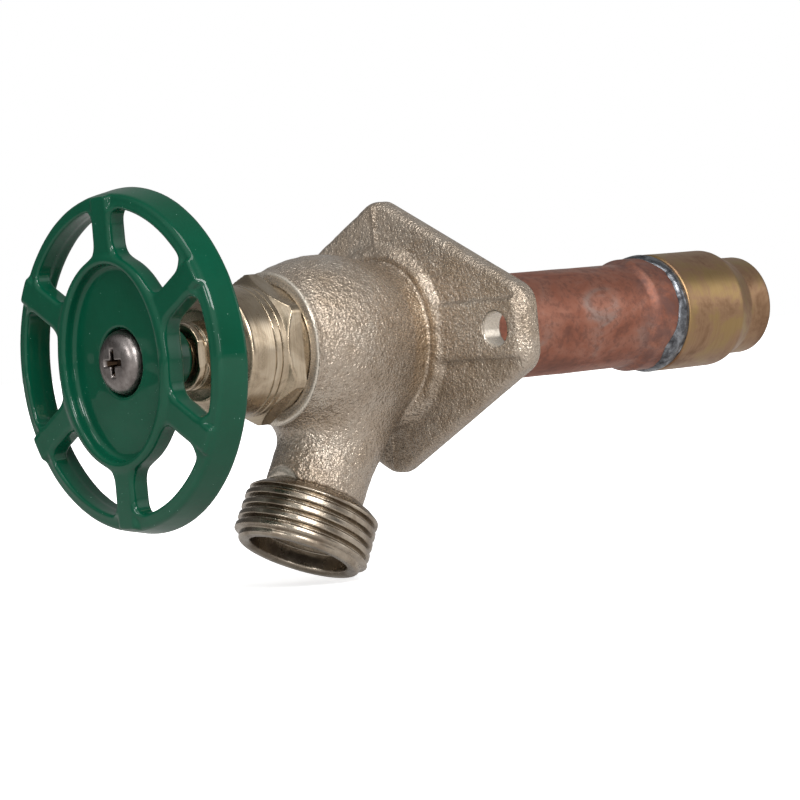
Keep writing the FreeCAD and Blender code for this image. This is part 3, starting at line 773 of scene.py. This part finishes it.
# The pieces ---------------------------------------------------------------------------------------
def build_pieces():
    pad = 0.8
    points, faces = field_surface(wheel_field, wheel_lo - pad, wheel_hi + pad, 0.33, wheel_relief)
    finish_piece(add_mesh("wheel_casting", points, faces, "stem_set", "green_enamel", ["handle_wheel"]),
                 "green_enamel")
    points, faces = field_surface(screw_field, screw_lo - pad, screw_hi + pad, 0.13)
    finish_piece(add_mesh("wheel_screw", points, faces, "stem_set", "stainless", ["handle_screw"]),
                 "screw_steel")
    points, faces = field_surface(body_field, body_lo - pad, body_hi + pad, 0.42, body_relief)
    finish_piece(add_mesh("body_casting", points, faces, "valve", "cast_body", ["valve_body"]), "cast_body")
    for name, mesh, slot, replaced, material in (
            ("spout_thread", thread_end(), "cast_body", ["valve_body"], "machined_body"),
            ("turned_bonnet", bonnet_mesh(), "turned_brass", ["bonnet"], "turned_brass"),
            ("gland_nut", nut_mesh(), "turned_brass", ["packing_nut"], "turned_brass"),
            ("belled_tube", tube_mesh(), "copper", ["copper_tube"], "copper"),
            ("solder_collar", solder_mesh(), "solder", ["inlet_solder_ring"], "solder"),
            ("inlet_end", inlet_mesh(), "dull_brass", ["inlet_fitting"], "dull_brass")):
        finish_piece(add_mesh(name, *mesh, "valve", slot, replaced), material)
    carried = {"stem": "turned_brass", "stem_rod": "turned_brass", "rod_pin": "stainless",
               "stem_o_ring": "black_rubber", "plunger_clip": "stainless", "plunger": "dull_brass",
               "seat_washer": "black_rubber", "washer_screw": "turned_brass", "bonnet_o_ring": "black_rubber",
               "packing_rings": "packing", "packing_washer": "turned_brass", "body_solder_ring": "solder"}
    for node, material in carried.items():
        finish_piece(nodes[node], material)


# Studio -------------------------------------------------------------------------------------------
AZIMUTH, ELEVATION, ROLL = radians(48.954), radians(1.545), radians(-5.045)
DISTANCE = 0.635712
LENS = 140.7526
TARGET = Vector((0.0, -0.000745, -0.012876))
PANEL_AIM = Vector((0, 0.01, -0.005))
WORLD_FILL = 0.12
# Each glow: degrees to the right of the camera, degrees up, cosine at its edge, strength.
WORLD_LOBES = ((-4, 26, 0.45, 0.58), (88, 16, 0.9, 1.8), (-45, 32, 0.5, 0.62), (150, 25, 0.3, 0.24))


def direction_to(to_right, elevation):
    """Unit vector to_right degrees round from the camera and elevation degrees up."""
    turn = AZIMUTH + radians(to_right)
    lift = radians(elevation)
    return Vector((sin(turn) * cos(lift), -cos(turn) * cos(lift), sin(lift)))


def view_axes():
    back = Vector((sin(AZIMUTH) * cos(ELEVATION), -cos(AZIMUTH) * cos(ELEVATION), sin(ELEVATION)))
    right = Vector((cos(AZIMUTH), sin(AZIMUTH), 0.0))
    up = back.cross(right)
    return right, up, back


def add_camera():
    right, up, back = view_axes()
    rolled_right = right * cos(ROLL) + up * sin(ROLL)
    rolled_up = up * cos(ROLL) - right * sin(ROLL)
    data = bpy.data.cameras.new("camera")
    data.sensor_width = 36.0
    data.lens = LENS
    data.clip_start = 0.01
    camera = bpy.data.objects.new("camera", data)
    matrix = Matrix((rolled_right, rolled_up, back)).transposed().to_4x4()
    matrix.translation = TARGET + back * DISTANCE
    camera.matrix_world = matrix
    bpy.context.scene.collection.objects.link(camera)
    bpy.context.scene.camera = camera


def add_panel(name, to_right, elevation, distance, width, height, power):
    """A white soft box aimed at the valve, to_right degrees round from the camera."""
    direction = direction_to(to_right, elevation)
    data = bpy.data.lights.new(name, "AREA")
    data.shape = "RECTANGLE"
    data.size, data.size_y = width, height
    data.energy = power
    light = bpy.data.objects.new(name, data)
    light.location = PANEL_AIM + direction * distance
    light.rotation_euler = direction.to_track_quat("Z", "Y").to_euler()
    bpy.context.scene.collection.objects.link(light)


def add_world():
    """Room light seen by the valve, brightest to the camera's right; the camera itself sees plain white."""
    world = bpy.data.worlds.new("studio")
    bpy.context.scene.world = world
    world.use_nodes = True
    tree = world.node_tree
    tree.nodes.clear()
    place = tree.nodes.new("ShaderNodeTexCoord").outputs["Generated"]

    def lobe(to_right, elevation, edge_cosine, strength, grey):
        """Adds a soft glow about one direction to the grey value or socket given."""
        toward = tree.nodes.new("ShaderNodeVectorMath")
        toward.operation = "DOT_PRODUCT"
        toward.inputs[1].default_value = direction_to(to_right, elevation)
        tree.links.new(place, toward.inputs[0])
        shape = tree.nodes.new("ShaderNodeMapRange")
        shape.interpolation_type = "SMOOTHSTEP"
        shape.inputs[1].default_value = edge_cosine
        shape.inputs[4].default_value = strength
        tree.links.new(toward.outputs["Value"], shape.inputs[0])
        total = tree.nodes.new("ShaderNodeMath")
        tree.links.new(shape.outputs[0], total.inputs[0])
        if isinstance(grey, bpy.types.NodeSocket):
            tree.links.new(grey, total.inputs[1])
        else:
            total.inputs[1].default_value = grey
        return total.outputs[0]

    grey = WORLD_FILL
    for setting in WORLD_LOBES:
        grey = lobe(*setting, grey)
    tent = tree.nodes.new("ShaderNodeBackground")
    plain = tree.nodes.new("ShaderNodeBackground")
    path = tree.nodes.new("ShaderNodeLightPath")
    mixer = tree.nodes.new("ShaderNodeMixShader")
    out = tree.nodes.new("ShaderNodeOutputWorld")
    plain.inputs["Color"].default_value = (1.0, 1.0, 1.0, 1.0)
    tree.links.new(grey, tent.inputs["Color"])
    tree.links.new(path.outputs["Is Camera Ray"], mixer.inputs[0])
    tree.links.new(tent.outputs[0], mixer.inputs[1])
    tree.links.new(plain.outputs[0], mixer.inputs[2])
    tree.links.new(mixer.outputs[0], out.inputs["Surface"])


def add_floor():
    """Pale floor just under the valve. To the camera it glows white beyond the contact shadow."""
    low = cad_bounds[0][2] - 0.0004
    segments, rings = 96, (0.25, 0.6, 1.5, 4.0)
    points = [(0.0, 0.0, low)]
    faces = []
    for k, radius in enumerate(rings):
        for i in range(segments):
            angle = 2 * pi * i / segments
            points.append((radius * cos(angle), radius * sin(angle), low))
            j = (i + 1) % segments
            if k == 0:
                faces.append((0, 1 + i, 1 + j))
            else:
                inner, outer = 1 + (k - 1) * segments, 1 + k * segments
                faces.append((inner + i, outer + i, outer + j, inner + j))
    mesh = bpy.data.meshes.new("floor")
    mesh.from_pydata(points, [], faces)
    floor = bpy.data.objects.new("floor", mesh)
    bpy.context.scene.collection.objects.link(floor)
    s = Shader("floor_paper", Roughness=0.9, Specular_IOR_Level=0.1)
    distance = s.length(s.place)
    seen = s.add("ShaderNodeLightPath").outputs["Is Camera Ray"]
    glow = s.math("MULTIPLY", seen, s.span(distance, 90.0, 400.0, 0.5, 1.1))
    s.link(s.math("ADD", glow, 0.2), "Emission Strength")
    s.bsdf.inputs["Emission Color"].default_value = (1.0, 1.0, 1.0, 1.0)
    paper = s.ramp(s.noise(40.0), [(0.3, 0.86), (0.7, 0.9)])
    s.link(s.mix(seen, (0.58, 0.56, 0.545), paper), "Base Color")
    mesh.materials.append(s.material)


build_pieces()
add_camera()
add_world()
add_panel("key_panel", 17, 34, 0.9, 0.42, 0.24, 5.3)
add_panel("edge_strip", 14, 7, 0.9, 0.07, 0.16, 0.55)
add_panel("front_panel", -42, 22, 1.1, 0.3, 0.2, 2.4)
add_panel("top_panel", 0, 70, 0.9, 0.3, 0.3, 1.6)
add_floor()
bpy.context.scene.view_settings.view_transform = "Standard"
